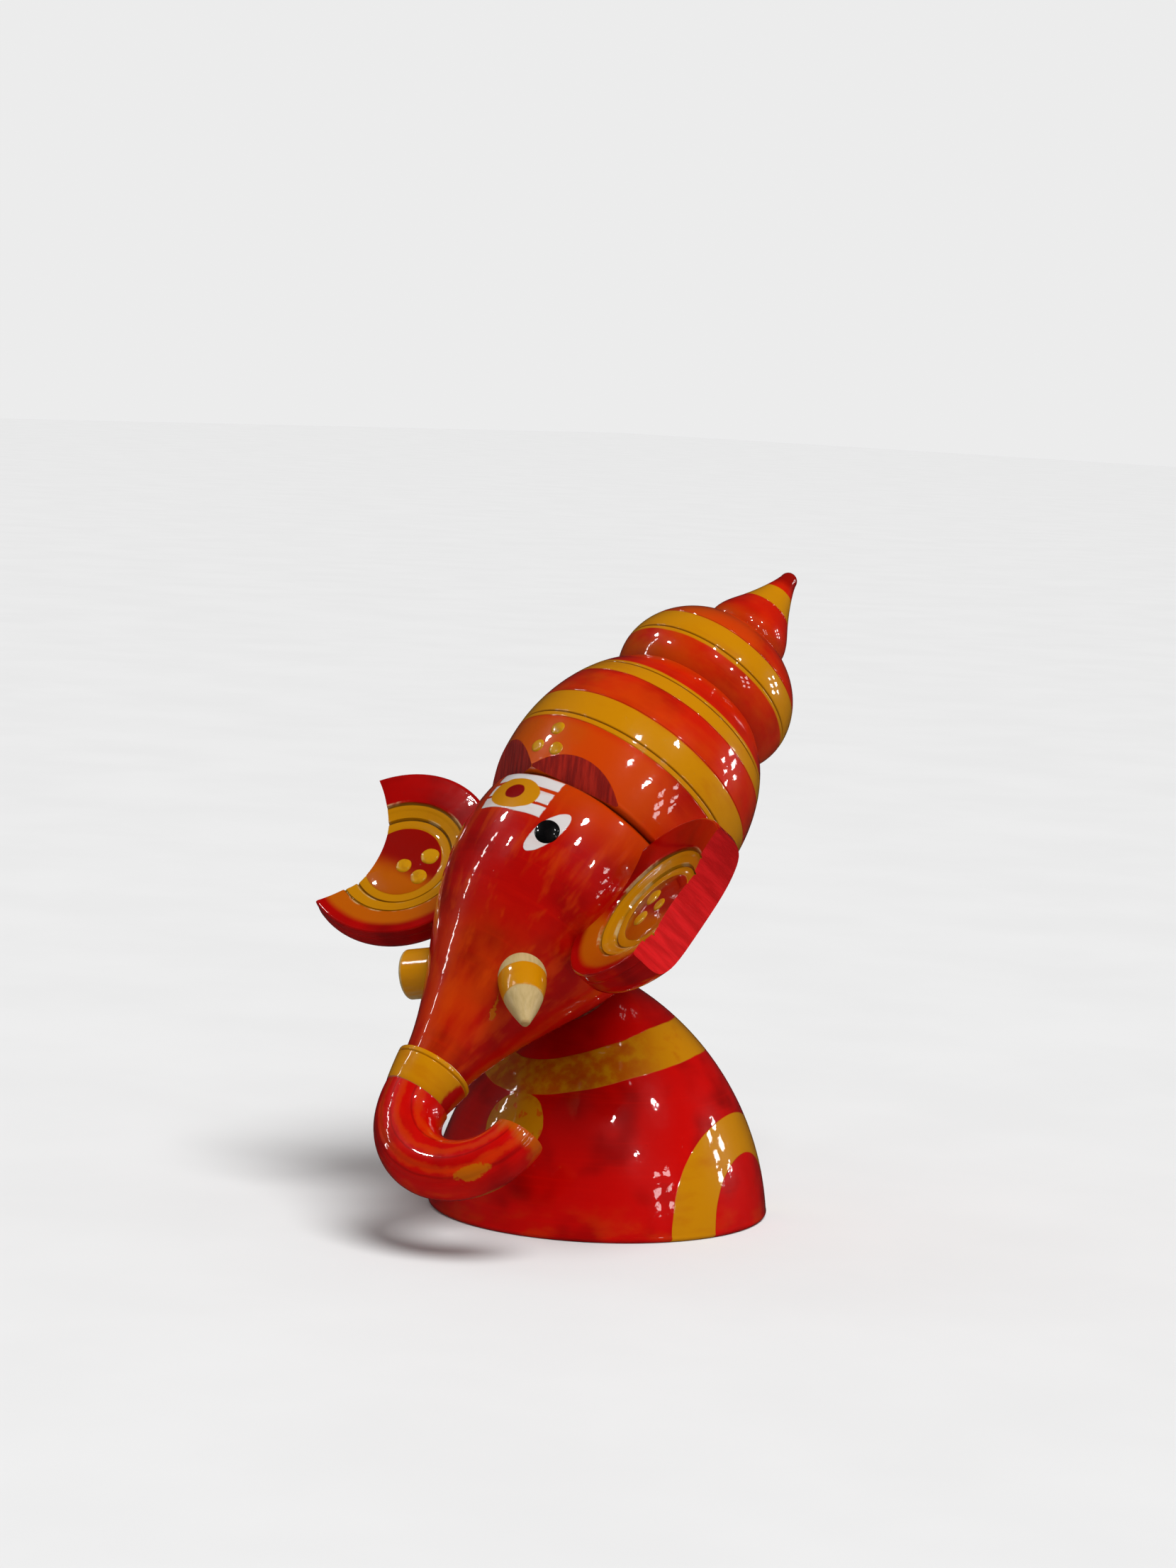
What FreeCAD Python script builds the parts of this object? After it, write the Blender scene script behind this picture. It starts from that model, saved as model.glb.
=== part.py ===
import FreeCAD, Part
import math
import os

# Ganesha bust in lacquered turned wood. Millimetres.
# Origin: centre of the base's flat underside. +Z up, the idol faces -Y, and +X is
# the idol's own left. Every visible piece is turned on a lathe, then pegged and glued.

V = FreeCAD.Vector

# ---- body ----------------------------------------------------------------------
BASE_R = 35.3          # radius of the flat underside
BODY_ARC_R = 60.0      # radius of the side's arc
BODY_ARC_Z = -5.1      # height of that arc's centre
BASE_EDGE = 0.8        # rounding of the bottom edge

# ---- head ------------------------------------------------------------------------
RING_Y, RING_Z = -47.4, 33.4   # centre of the trunk ring's upper lip
HEAD_TILT = 43.8       # lean of the head's axis back from vertical, degrees
HEAD_LEN = 58.0        # from the ring's lip up to the joint with the crown
TRUNK_R = 7.2          # trunk just above the ring
FACE_R = 16.8          # face between the tusks
FACE_AT = 25.0         # its distance above the ring's lip
CHEEK_R = 23.9         # widest part of the head
CHEEK_AT = 51.0
HEAD_TOP_R = 22.7
RING_R = 8.2           # trunk ring at its lip
RING_END_R = 6.8       # trunk ring at its lower end
RING_LEN = 7.6
RING_LIP = 0.7
SEAT_TILT = 28.5       # slope of the flat where the head sits on the body, degrees
SEAT_Y, SEAT_Z = -7.4, 45.2    # a point on that flat

# ---- crown -----------------------------------------------------------------------
CROWN_TILT = 47.0      # lean of the crown's axis
CROWN_SHIFT = 1.0      # how far the crown sits forward of the head's centre
RIM_R = 24.1           # crown where it meets the head
RIM_EDGE = 0.8         # rounding of its lower edge
BULB_R = 26.2          # widest part of the lower bulb
BULB_AT = 15.5         # its distance from the joint
GROOVE_R = 17.4        # groove between the two bulbs
GROOVE_AT = 38.8
TOP_BULB_R = 19.6      # upper bulb
TOP_BULB_AT = 45.6
NECK_R = 8.6           # groove under the tip
NECK_AT = 60.0
TIP_R = 9.0            # widest part of the tip
TIP_AT = 61.4
TIP_END_R = 1.9
CROWN_LEN = 81.0
# Two flats shaved off the rim leave a peak over the middle of the brow. Each is given as
# how far round it is turned, its distance from the axis at the joint, and its outward lean.
FACETS = {-1: (32.0, 20.1, 37.0), 1: (26.0, 21.3, 38.0)}

# ---- ears ----------------------------------------------------------------------------
EAR_X, EAR_Y, EAR_Z = 36.0, -26.8, 71.7    # centre of the dish's rim plane
EAR_RISE = 40.8        # how far the dish faces up, degrees
EAR_IN = 25.8          # how far it turns in towards the brow, degrees
EAR_R = 20.2           # ridge of the dish
EAR_STEP_R = 13.7      # foot of the dish's slope
EAR_FLAT_R = 10.6      # flat centre
EAR_STEP_DEEP = 1.8
EAR_FLAT_DEEP = 3.4
EAR_SIDE = 4.2         # straight edge behind the ridge
EAR_DEEP = 12.0        # ridge to the back of the dome
BITE_R = 22.5          # concave cut on the outer side
BITE_NEAR = 5.7        # how close the cut comes to the dish's centre
BITE_TURN = {-1: -9.0, 1: -0.5}    # where it sits round the dish, degrees from straight out

# ---- tusks ----------------------------------------------------------------------------
# Each root is given as distance up the head's axis, out to the side, and towards the brow.
TUSK_R = 4.9           # whole tusk, on the idol's left
TUSK_LEN = 19.0
TUSK_ROOT = (24.8, 10.0, 5.8)
TUSK_AIM = (-0.735, 0.66, 0.04)
STUB_R = 5.15          # broken tusk, on the idol's right
STUB_LEN = 8.0
STUB_ROOT = (21.1, -12.0, 2.8)
STUB_AIM = (-0.40, -0.90, 0.15)
TENON_R = 2.5
TENON_LEN = 6.0

# ---- trunk curl --------------------------------------------------------------------------
CURL_R = 13.4          # radius of the curl's centre line
CURL_TURN = 80.0       # its plane, turned from straight back towards the idol's left
CURL_LEAN = 4.2        # it leaves the ring leaning this much into the bend, degrees
CURL_ANGLE = 174.0     # how far round it goes
CURL_SHIFT = (1.2, 0.5)    # offset on the ring's end, to the side and towards the brow
CURL_START_R = 7.1     # thickness at the ring, as a radius
CURL_END_R = 5.2       # thickness at the free end
CURL_STEPS = 16

# ---- hidden pegs -----------------------------------------------------------------------------
PEG_R = 3.0            # neck and crown
PEG_LEN = 16.0
TRUNK_PEG_R = 2.0
TRUNK_PEG_LEN = 11.0
EAR_PEG_R = 1.5
EAR_PEG_LEN = 10.0
EAR_PEG_DEEP = 4.9     # below the dish's rim plane
EAR_PEG_OUT = 18.0     # from the dish's centre to where the peg enters the head
PEG_GAP = 0.5          # glue space at each end of a peg


def leaning(tilt):
    """Direction in the middle plane that leans back from vertical by tilt degrees."""
    a = math.radians(tilt)
    return V(0, math.sin(a), math.cos(a))


def unit(vector):
    result = V(vector)
    result.normalize()
    return result


SIDE = V(1, 0, 0)
HEAD_AXIS = leaning(HEAD_TILT)
CROWN_AXIS = leaning(CROWN_TILT)
BROW = V(0, -HEAD_AXIS.z, HEAD_AXIS.y)     # straight out of the forehead
RING = V(0, RING_Y, RING_Z)
JOINT = RING + HEAD_AXIS * HEAD_LEN + BROW * CROWN_SHIFT
SEAT = V(0, SEAT_Y, SEAT_Z)
SEAT_UP = V(0, -math.sin(math.radians(SEAT_TILT)), math.cos(math.radians(SEAT_TILT)))


def head_vector(parts):
    """A vector from its parts along the head's axis, to the side and towards the brow."""
    return HEAD_AXIS * parts[0] + SIDE * parts[1] + BROW * parts[2]


def line(a, b):
    return Part.makeLine(V(a[0], 0, a[1]), V(b[0], 0, b[1]))


def arc(a, middle, b):
    points = [V(r, 0, h) for r, h in (a, middle, b)]
    return Part.Arc(*points).toBSpline().toShape()


def curve(points):
    spline = Part.BSplineCurve()
    spline.interpolate([V(r, 0, h) for r, h in points])
    return spline.toShape()


def turned(edges, place, axis):
    """Solid of revolution of a (radius, height) outline, set on an axis."""
    face = Part.Face(Part.Wire(edges))
    solid = face.revolve(V(0, 0, 0), V(0, 0, 1), 360)
    solid.Placement = FreeCAD.Placement(place, FreeCAD.Rotation(V(0, 0, 1), axis))
    return solid


def rod(middle, direction, radius, length):
    return Part.makeCylinder(radius, length, middle - direction * (length / 2), direction)


def block(face_point, inward):
    """A large block whose flat face lies on face_point and which fills the inward side."""
    size = 200.0
    box = Part.makeBox(size, size, size, V(-size / 2, -size / 2, 0))
    box.Placement = FreeCAD.Placement(face_point, FreeCAD.Rotation(V(0, 0, 1), inward))
    return box


def make_body():
    inset = math.sqrt(BODY_ARC_R ** 2 - BODY_ARC_Z ** 2) - BASE_R
    top = BODY_ARC_Z + math.sqrt(BODY_ARC_R ** 2 - inset ** 2)

    def side(z):
        return (math.sqrt(BODY_ARC_R ** 2 - (z - BODY_ARC_Z) ** 2) - inset, z)

    rounding = (BASE_R - BASE_EDGE * 0.29, BASE_EDGE * 0.29)
    outline = [
        line((0, 0), (BASE_R - BASE_EDGE, 0)),
        arc((BASE_R - BASE_EDGE, 0), rounding, side(BASE_EDGE)),
        arc(side(BASE_EDGE), side(top * 0.6), (0, top)),
        line((0, top), (0, 0)),
    ]
    dome = turned(outline, V(0, 0, 0), V(0, 0, 1))
    return dome.cut(block(SEAT, SEAT_UP))


def make_head():
    spare = 3.0    # trimmed off again by the crown's tilted joint
    lip = (RING_R - RING_LIP * 0.5, RING_LIP * 0.5)
    cheek = [
        (TRUNK_R, RING_LIP * 0.5),
        (FACE_R, FACE_AT),
        (CHEEK_R * 0.93, CHEEK_AT * 0.76),
        (CHEEK_R, CHEEK_AT),
        (HEAD_TOP_R, HEAD_LEN + spare),
    ]
    outline = [
        line((0, -RING_LEN), (RING_END_R, -RING_LEN)),
        line((RING_END_R, -RING_LEN), (RING_R, -RING_LIP)),
        arc((RING_R, -RING_LIP), (RING_R, 0), lip),
        line(lip, cheek[0]),
        curve(cheek),
        line(cheek[-1], (0, HEAD_LEN + spare)),
        line((0, HEAD_LEN + spare), (0, -RING_LEN)),
    ]
    pear = turned(outline, RING, HEAD_AXIS)
    return pear.cut(block(JOINT, CROWN_AXIS)).cut(block(SEAT, SEAT_UP * -1))


def make_crown():
    rim = (RIM_R, RIM_EDGE)
    lower = [
        rim,
        (BULB_R * 0.985, BULB_AT * 0.6),
        (BULB_R, BULB_AT),
        (BULB_R * 0.92, BULB_AT + (GROOVE_AT - BULB_AT) * 0.52),
        (BULB_R * 0.83, BULB_AT + (GROOVE_AT - BULB_AT) * 0.75),
        (GROOVE_R, GROOVE_AT),
    ]
    upper = [
        (GROOVE_R, GROOVE_AT),
        (TOP_BULB_R, TOP_BULB_AT),
        (TOP_BULB_R * 0.90, TOP_BULB_AT + (NECK_AT - TOP_BULB_AT) * 0.48),
        (TOP_BULB_R * 0.70, TOP_BULB_AT + (NECK_AT - TOP_BULB_AT) * 0.80),
        (NECK_R, NECK_AT),
    ]
    tip = [
        (NECK_R, NECK_AT),
        (TIP_R, TIP_AT),
        (TIP_R * 0.74, TIP_AT + (CROWN_LEN - TIP_AT) * 0.34),
        (TIP_R * 0.38, TIP_AT + (CROWN_LEN - TIP_AT) * 0.68),
        (TIP_END_R, CROWN_LEN - TIP_END_R),
    ]
    outline = [
        line((0, 0), (RIM_R - RIM_EDGE, 0)),
        arc((RIM_R - RIM_EDGE, 0), (RIM_R - RIM_EDGE * 0.29, RIM_EDGE * 0.29), rim),
        curve(lower),
        curve(upper),
        curve(tip),
        arc(tip[-1], (TIP_END_R * 0.62, CROWN_LEN - TIP_END_R * 0.3), (0, CROWN_LEN)),
        line((0, CROWN_LEN), (0, 0)),
    ]
    crown = turned(outline, JOINT, CROWN_AXIS)
    for side in FACETS:
        crown = crown.cut(facet_cutter(side))
    return crown


def facet_cutter(side):
    """Everything outside one flat, which leans out from the joint as it rises."""
    turn_degrees, distance, lean_degrees = FACETS[side]
    turn = math.radians(turn_degrees) * side
    lean = math.radians(lean_degrees)
    forward = CROWN_AXIS.cross(SIDE) * -1
    out = forward * math.cos(turn) + SIDE * math.sin(turn)
    return block(JOINT + out * distance, out * math.cos(lean) - CROWN_AXIS * math.sin(lean))


def ear_frame(side):
    """Centre of the dish's rim plane, the way it faces, outwards and upwards within it."""
    rise = math.radians(EAR_RISE)
    turn = math.radians(EAR_IN)
    normal = V(-side * math.sin(turn) * math.cos(rise), -math.cos(turn) * math.cos(rise), math.sin(rise))
    out = unit(SIDE * side - normal * (side * normal.x))
    up = normal.cross(out) * side
    return V(side * EAR_X, EAR_Y, EAR_Z), normal, out, up


def make_ear(side):
    centre, normal, out, up = ear_frame(side)
    ridge = 0.5
    back = [
        (EAR_R, -EAR_SIDE),
        (EAR_R * 0.95, -EAR_DEEP * 0.56),
        (EAR_R * 0.80, -EAR_DEEP * 0.74),
        (EAR_R * 0.40, -EAR_DEEP * 0.935),
        (0, -EAR_DEEP),
    ]
    outline = [
        line((0, -EAR_FLAT_DEEP), (EAR_FLAT_R, -EAR_FLAT_DEEP)),
        line((EAR_FLAT_R, -EAR_FLAT_DEEP), (EAR_STEP_R, -EAR_STEP_DEEP)),
        line((EAR_STEP_R, -EAR_STEP_DEEP), (EAR_R - ridge, 0)),
        arc((EAR_R - ridge, 0), (EAR_R - ridge * 0.29, -ridge * 0.29), (EAR_R, -ridge)),
        line((EAR_R, -ridge), back[0]),
        curve(back),
        line(back[-1], (0, -EAR_FLAT_DEEP)),
    ]
    dish = turned(outline, centre, normal)
    turn = math.radians(BITE_TURN[side])
    aim = out * math.cos(turn) + up * math.sin(turn)
    bite = rod(centre + aim * (BITE_NEAR + BITE_R), normal, BITE_R, 4 * EAR_DEEP)
    return dish.cut(bite)


def ear_peg_line(side):
    """Where an ear's peg crosses the head's surface, and its direction."""
    centre, normal, out, up = ear_frame(side)
    return centre - normal * EAR_PEG_DEEP - out * EAR_PEG_OUT, out


def make_tusk():
    bud = [
        (TUSK_R * 0.84, 0),
        (TUSK_R, TUSK_LEN * 0.30),
        (TUSK_R * 0.66, TUSK_LEN * 0.68),
        (TUSK_R * 0.22, TUSK_LEN * 0.95),
    ]
    outline = [
        line((0, -TENON_LEN), (TENON_R, -TENON_LEN)),
        line((TENON_R, -TENON_LEN), (TENON_R, 0)),
        line((TENON_R, 0), bud[0]),
        curve(bud),
        arc(bud[-1], (TUSK_R * 0.13, TUSK_LEN * 0.987), (0, TUSK_LEN)),
        line((0, TUSK_LEN), (0, -TENON_LEN)),
    ]
    return turned(outline, RING + head_vector(TUSK_ROOT), unit(head_vector(TUSK_AIM)))


def make_stub():
    edge = 0.5
    outline = [
        line((0, -TENON_LEN), (TENON_R, -TENON_LEN)),
        line((TENON_R, -TENON_LEN), (TENON_R, 0)),
        line((TENON_R, 0), (STUB_R, 0)),
        line((STUB_R, 0), (STUB_R, STUB_LEN - edge)),
        arc((STUB_R, STUB_LEN - edge), (STUB_R - edge * 0.29, STUB_LEN - edge * 0.29),
            (STUB_R - edge, STUB_LEN)),
        line((STUB_R - edge, STUB_LEN), (0, STUB_LEN)),
        line((0, STUB_LEN), (0, -TENON_LEN)),
    ]
    return turned(outline, RING + head_vector(STUB_ROOT), unit(head_vector(STUB_AIM)))


def make_curl():
    """Half a ring, thinner towards its free end, cut flat where it meets the trunk ring."""
    ring_end = RING - HEAD_AXIS * RING_LEN
    start = ring_end + SIDE * CURL_SHIFT[0] + BROW * CURL_SHIFT[1]
    turn = math.radians(CURL_TURN)
    lean = math.radians(CURL_LEAN)
    bend = SIDE * math.sin(turn) - BROW * math.cos(turn)
    down = bend * math.sin(lean) - HEAD_AXIS * math.cos(lean)
    inward = bend * math.cos(lean) + HEAD_AXIS * math.sin(lean)
    spare = math.radians(30)    # extra length above the joint, trimmed off by the flat cut
    sections = []
    for step in range(CURL_STEPS + 1):
        part = step / CURL_STEPS
        angle = (math.radians(CURL_ANGLE) + spare) * part - spare
        heading = down * math.cos(angle) + inward * math.sin(angle)
        outward = down * math.sin(angle) - inward * math.cos(angle)
        radius = CURL_START_R + (CURL_END_R - CURL_START_R) * max(angle, 0) / math.radians(CURL_ANGLE)
        section = Part.Wire(Part.makeCircle(radius))
        facing = FreeCAD.Rotation(outward, heading.cross(outward), heading, "ZXY")
        section.Placement = FreeCAD.Placement(start + (inward + outward) * CURL_R, facing)
        sections.append(section)
    return Part.makeLoft(sections, True).cut(block(ring_end, HEAD_AXIS))


def peg_and_hole(middle, direction, radius, length):
    """A glued peg centred on a joint, and the slightly longer hole that it sits in."""
    return rod(middle, direction, radius, length), rod(middle, direction, radius, length + 2 * PEG_GAP)


def build():
    parts = {
        "body": make_body(),
        "head": make_head(),
        "crown": make_crown(),
        "trunk_curl": make_curl(),
        "ear_left": make_ear(1),
        "ear_right": make_ear(-1),
        "tusk_whole": make_tusk(),
        "tusk_broken": make_stub(),
    }
    for tusk in ("tusk_whole", "tusk_broken"):
        parts["head"] = parts["head"].cut(parts[tusk])
    for ear in ("ear_left", "ear_right"):
        parts[ear] = parts[ear].cut(parts["head"]).cut(parts["crown"])

    left_peg = ear_peg_line(1)
    right_peg = ear_peg_line(-1)
    pegs = {
        "neck_peg": (SEAT, SEAT_UP, PEG_R, PEG_LEN, ("body", "head")),
        "crown_peg": (JOINT, CROWN_AXIS, PEG_R, PEG_LEN, ("head", "crown")),
        "trunk_peg": (RING - HEAD_AXIS * RING_LEN, HEAD_AXIS, TRUNK_PEG_R, TRUNK_PEG_LEN, ("head", "trunk_curl")),
        "ear_peg_left": left_peg + (EAR_PEG_R, EAR_PEG_LEN, ("head", "ear_left")),
        "ear_peg_right": right_peg + (EAR_PEG_R, EAR_PEG_LEN, ("head", "ear_right")),
    }
    for name, (middle, direction, radius, length, joined) in pegs.items():
        peg, hole = peg_and_hole(middle, direction, radius, length)
        parts[name] = peg
        for other in joined:
            parts[other] = parts[other].cut(hole)
    return parts


os.makedirs("parts", exist_ok=True)
for name, shape in build().items():
    shape.exportStep("parts/" + name + ".step")
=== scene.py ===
import math
import random

import bmesh
import bpy
import numpy as np
from mathutils import Matrix, Vector, noise


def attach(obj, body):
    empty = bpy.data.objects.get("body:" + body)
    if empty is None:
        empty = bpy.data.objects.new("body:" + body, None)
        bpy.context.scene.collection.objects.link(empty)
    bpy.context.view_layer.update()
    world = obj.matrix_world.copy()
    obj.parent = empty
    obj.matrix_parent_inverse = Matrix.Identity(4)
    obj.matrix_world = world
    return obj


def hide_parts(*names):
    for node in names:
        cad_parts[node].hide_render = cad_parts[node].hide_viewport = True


# The looks of the lacquered Ganesha bust. Every visible piece is turned again here as a
# fine mesh from the same sizes as the CAD, with the scored lines, ridges and paint added.
# Shapes are worked out in millimetres in the row's frame and scaled to metres at the end.

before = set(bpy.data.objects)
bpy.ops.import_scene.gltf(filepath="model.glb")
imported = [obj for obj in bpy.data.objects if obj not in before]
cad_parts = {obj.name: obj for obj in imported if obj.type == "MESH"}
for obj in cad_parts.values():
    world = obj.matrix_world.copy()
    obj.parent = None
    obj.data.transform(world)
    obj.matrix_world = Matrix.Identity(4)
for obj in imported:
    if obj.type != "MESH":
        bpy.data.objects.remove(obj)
random.seed(7)
MM = 0.001

# ---- sizes shared with the CAD -------------------------------------------------------
BASE_R, BASE_EDGE = 35.3, 0.8
BODY_ARC_R, BODY_ARC_Z = 60.0, -5.1
RING = Vector((0, -47.4, 33.4))
HEAD_TILT, CROWN_TILT = 43.8, 47.0
HEAD_LEN, CROWN_SHIFT = 58.0, 1.0
CHEEK = [(7.2, 0.35), (16.8, 25.0), (22.23, 38.76), (23.9, 51.0), (22.7, 61.0)]
RING_R, RING_END_R, RING_LEN, RING_LIP = 8.2, 6.8, 7.6, 0.7
SEAT = Vector((0, -7.4, 45.2))
SEAT_TILT = 28.5
RIM_R, RIM_EDGE = 24.1, 0.8
LOWER_BULB = [(24.1, 0.8), (25.81, 9.3), (26.2, 15.5), (24.1, 27.62), (21.75, 32.98), (17.4, 38.8)]
UPPER_BULB = [(17.4, 38.8), (19.6, 45.6), (17.64, 52.51), (13.72, 57.12), (8.6, 60.0)]
TIP = [(8.6, 60.0), (9.0, 61.4), (6.66, 68.06), (3.42, 74.73), (1.9, 79.1)]
CROWN_LEN = 81.0
FACETS = {-1: (32.0, 20.1, 37.0), 1: (26.0, 21.3, 38.0)}
EAR_CENTRE = Vector((36.0, -26.8, 71.7))
EAR_RISE, EAR_IN = 40.8, 25.8
EAR_R, EAR_STEP_R, EAR_FLAT_R = 20.2, 13.7, 10.6
EAR_FLAT_DEEP, EAR_SIDE, EAR_DEEP = 3.4, 4.2, 12.0
BITE_R, BITE_NEAR = 22.5, 5.7
BITE_TURN = {-1: -9.0, 1: -0.5}
TUSK_R, TUSK_LEN = 4.9, 19.0
TUSK_ROOT, TUSK_AIM = (24.8, 10.0, 5.8), (-0.735, 0.66, 0.04)
STUB_R, STUB_LEN = 5.15, 8.0
STUB_ROOT, STUB_AIM = (21.1, -12.0, 2.8), (-0.40, -0.90, 0.15)
CURL_R, CURL_TURN, CURL_LEAN, CURL_ANGLE = 13.4, 80.0, 4.2, 174.0
CURL_SHIFT = (1.2, 0.5)
CURL_START_R, CURL_END_R = 7.1, 5.2

# ---- sizes of what is only looks -------------------------------------------------------
GLUE_GAP = 0.9          # glue between the body's flat and the head
TURNS = 288             # facets round a turned piece
CROWN_TURNS = 176       # the crown is long, so fewer keep its mesh light
TUSK_TURNS = 128
CUTTER_TURNS = 144      # facets round the shapes that the ears are coped to
BITE_TURNS = 256        # facets round the ears' concave cut
FINE = 0.35             # spacing of the outline's points
SCORED_FINE = 0.06      # spacing beside a scored line
SHARP = 30              # an edge is sharp above this angle, degrees
HEAD_RIM_EDGE = 1.3     # rounding of the head's edge under the crown

SIDE = Vector((1, 0, 0))


def leaning(tilt):
    return Vector((0, math.sin(math.radians(tilt)), math.cos(math.radians(tilt))))


HEAD_AXIS = leaning(HEAD_TILT)
CROWN_AXIS = leaning(CROWN_TILT)
SEAT_UP = leaning(-SEAT_TILT)
BROW = SIDE.cross(HEAD_AXIS)
JOINT = RING + HEAD_AXIS * HEAD_LEN + BROW * CROWN_SHIFT


def head_vector(parts):
    return HEAD_AXIS * parts[0] + SIDE * parts[1] + BROW * parts[2]


# ======================================================================================
# Meshes
# ======================================================================================
def smooth_curve(points):
    """Closely spaced points on the smooth curve through a few (radius, height) points."""
    p = np.array(points)
    chord = np.hypot(*np.diff(p, axis=0).T)
    knots = np.concatenate([[0], np.cumsum(chord)])
    count = len(p)
    system = np.zeros((count, count))
    wanted = np.zeros((count, 2))
    for i in range(1, count - 1):
        before, after = chord[i - 1], chord[i]
        system[i, i - 1:i + 2] = after, 2 * (before + after), before
        wanted[i] = 3 * (after / before * (p[i] - p[i - 1]) + before / after * (p[i + 1] - p[i]))
    for i, near in ((0, slice(0, 4)), (count - 1, slice(-4, None))):
        cubic = np.polyfit(knots[near], p[near], len(knots[near]) - 1)
        slope = [np.polyval(np.polyder(cubic[:, k]), knots[i]) for k in range(2)]
        system[i, i] = 1
        wanted[i] = slope
    slopes = np.linalg.solve(system, wanted)
    result = [tuple(p[0])]
    for i in range(count - 1):
        steps = max(4, round(chord[i] / FINE))
        for step in range(1, steps + 1):
            t = step / steps
            a = (2 * t ** 3 - 3 * t * t + 1) * p[i] + (t ** 3 - 2 * t * t + t) * chord[i] * slopes[i]
            b = (3 * t * t - 2 * t ** 3) * p[i + 1] + (t ** 3 - t * t) * chord[i] * slopes[i + 1]
            result.append(tuple(a + b))
    return result


def scored(outline, lines):
    """The outline with shallow lines cut into it: each line is (height, half width, depth)."""
    result = []
    for (r0, h0), (r1, h1) in zip(outline, outline[1:]):
        near = any(abs((h0 + h1) / 2 - h) < 4 * w + abs(h1 - h0) for h, w, _ in lines)
        steps = max(1, math.ceil(math.hypot(r1 - r0, h1 - h0) / SCORED_FINE)) if near else 1
        for step in range(steps):
            t = step / steps
            result.append((r0 + (r1 - r0) * t, h0 + (h1 - h0) * t))
    result.append(outline[-1])
    cut = []
    for r, h in result:
        depth = sum(d * math.exp(-((h - at) / w) ** 2) for at, w, d in lines)
        cut.append((r - depth if r > 1 else r, h))
    return cut


def corner(centre_r, centre_h, radius, start, end, steps=6):
    """Points on a small arc, angles in degrees from outwards."""
    result = []
    for step in range(steps + 1):
        a = math.radians(start + (end - start) * step / steps)
        result.append((centre_r + radius * math.cos(a), centre_h + radius * math.sin(a)))
    return result


def lathe_frame(place, axis, side=SIDE):
    """Frame of a turned piece: local Z is its axis and local -Y is its front."""
    x = (side - axis * side.dot(axis)).normalized()
    y = axis.cross(x)
    return Matrix.Translation(place) @ Matrix((x, y, axis)).transposed().to_4x4()


def turned(outline, turns=TURNS):
    """bmesh of a (radius, height) outline turned round local Z."""
    mesh = bmesh.new()
    rows = []
    for r, h in outline:
        if r < 1e-6:
            rows.append([mesh.verts.new((0, 0, h))])
            continue
        row = []
        for turn in range(turns):
            a = math.tau * turn / turns
            row.append(mesh.verts.new((r * math.cos(a), r * math.sin(a), h)))
        rows.append(row)
    for low, high in zip(rows, rows[1:]):
        for turn in range(turns):
            after = (turn + 1) % turns
            ring = [low[turn % len(low)], low[after % len(low)],
                    high[after % len(high)], high[turn % len(high)]]
            ring = list(dict.fromkeys(ring))
            if len(ring) > 2:
                mesh.faces.new(ring)
    bmesh.ops.recalc_face_normals(mesh, faces=mesh.faces)
    return mesh


def flat_cut(mesh, to_local, point, outward):
    """Cuts off everything outside a plane and closes it with raw wood, material 1."""
    co = to_local @ point
    normal = (to_local.to_3x3() @ outward).normalized()
    geometry = list(mesh.verts) + list(mesh.edges) + list(mesh.faces)
    cut = bmesh.ops.bisect_plane(mesh, geom=geometry, plane_co=co, plane_no=normal, clear_outer=True)
    edges = [e for e in cut["geom_cut"] if isinstance(e, bmesh.types.BMEdge)]
    loop = [Vector(co) for co in sorted({tuple(v.co) for e in edges for v in e.verts})]
    filled = bmesh.ops.edgeloop_fill(mesh, edges=edges)
    for face in filled["faces"]:
        face.material_index = 1
    bmesh.ops.recalc_face_normals(mesh, faces=mesh.faces)
    return loop


def round_rim(mesh, to_local, point, outward, radius):
    """Rounds a turned piece's edge where a flat cut crosses it."""
    co = to_local @ point
    normal = (to_local.to_3x3() @ outward).normalized()
    for vertex in mesh.verts:
        below = (co - vertex.co).dot(normal)
        if below < radius:
            away = radius - max(below, 0.0)
            pull = radius - math.sqrt(radius * radius - away * away)
            r = math.hypot(vertex.co.x, vertex.co.y)
            vertex.co.x *= 1 - pull / r
            vertex.co.y *= 1 - pull / r


def add_object(name, mesh, place, materials):
    """A bmesh in a piece's own frame, in millimetres, as an object in the row's frame."""
    data = bpy.data.meshes.new(name)
    mesh.to_mesh(data)
    mesh.free()
    data.transform(Matrix.Scale(MM, 4) @ place)
    for material in materials:
        data.materials.append(material)
    piece = bpy.data.objects.new(name, data)
    bpy.context.scene.collection.objects.link(piece)
    return piece


def add_piece(name, mesh, place=Matrix.Identity(4), materials=()):
    """Adds a bmesh as a visible piece, smooth but for its sharp edges, riding on the one body."""
    piece = add_object(name, mesh, place, materials)
    smooth(piece)
    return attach(piece, "root")


def smooth(piece):
    piece.data.shade_smooth()
    piece.data.set_sharp_from_angle(angle=math.radians(SHARP))


def stand_in(piece, node):
    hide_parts(node)


def cut_with(piece, mesh, place, materials):
    """Subtracts a bmesh, placed in the piece's frame. The cut faces get the cutter's material."""
    cutter = add_object("cutter", mesh, place, materials)
    change = piece.modifiers.new("cut", "BOOLEAN")
    change.operation = "DIFFERENCE"
    change.solver = "EXACT"
    change.material_mode = "TRANSFER"
    change.object = cutter
    bpy.context.view_layer.update()
    graph = bpy.context.evaluated_depsgraph_get()
    result = bpy.data.meshes.new_from_object(piece.evaluated_get(graph))
    piece.modifiers.clear()
    piece.data = result
    bpy.data.objects.remove(cutter)


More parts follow.
